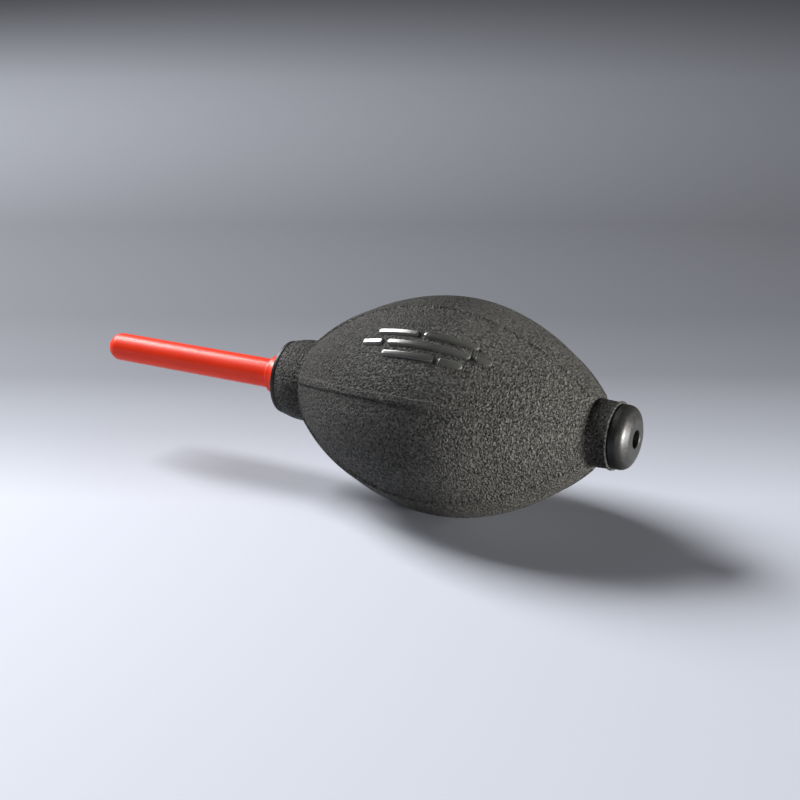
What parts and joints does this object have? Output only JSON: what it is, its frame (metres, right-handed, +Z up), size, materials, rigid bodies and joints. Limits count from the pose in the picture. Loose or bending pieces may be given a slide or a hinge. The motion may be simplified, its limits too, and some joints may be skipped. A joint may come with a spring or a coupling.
{
  "type": "dust blower bulb",
  "caption": "Hand air blower: ribbed rubber squeeze bulb with a long straight nozzle at one end and a one-way air inlet valve at the other.",
  "frame": {"origin": "on the surface that the blower lies on, under the middle of its overall box", "axes": "+Z up; the blower lies on its side with its long axis along X, the nozzle pointing to -X and the air inlet to +X; the raised mark faces -Y and up"},
  "size_m": [0.1528, 0.055, 0.055],
  "materials": {
    "bulb_rubber": "matt, finely grained moulded rubber",
    "mark_rubber": "glossy raised rubber",
    "black_plastic": "satin black moulded plastic",
    "red_plastic": "glossy red moulded plastic",
    "white_plastic": "natural unpainted plastic",
    "brass": "turned brass",
    "valve_rubber": "soft black seal rubber",
    "spring_steel": "bright spring wire"
  },
  "bodies": {
    "bulb": {"bulb_body": "bulb_rubber", "bulb_mark": "mark_rubber", "neck_collar": "black_plastic", "valve_head": "black_plastic", "valve_barrel": "brass", "valve_seat": "valve_rubber", "valve_cage": "white_plastic", "valve_spring": "spring_steel"},
    "front_wall": {"press_wall_front": "bulb_rubber"},
    "back_wall": {"press_wall_back": "bulb_rubber"},
    "nozzle": {"nozzle_tube": "red_plastic"},
    "inlet_disc": {"valve_disc": "white_plastic"}
  },
  "joints": [
    {"name": "front_wall_press", "type": "slide", "parent": "bulb", "child": "front_wall", "axis": [0, 0.9854, 0.1702], "range_m": [0, 0.011], "stiffness_N_per_m": 600},
    {"name": "back_wall_press", "type": "slide", "parent": "bulb", "child": "back_wall", "axis": [0, -0.9854, -0.1702], "range_m": [0, 0.011], "stiffness_N_per_m": 600},
    {"name": "nozzle_pull", "type": "slide", "parent": "bulb", "child": "nozzle", "axis": [-1, 0, 0], "range_m": [0, 0.011]},
    {"name": "inlet_valve", "type": "slide", "parent": "bulb", "child": "inlet_disc", "axis": [-1, 0, 0], "range_m": [0, 0.0012], "stiffness_N_per_m": 20, "springref_m": -0.002, "deforming": ["valve_spring"]}
  ],
  "couplings": [
    {"joint": "back_wall_press", "follows": "front_wall_press", "ratio": 1}
  ]
}
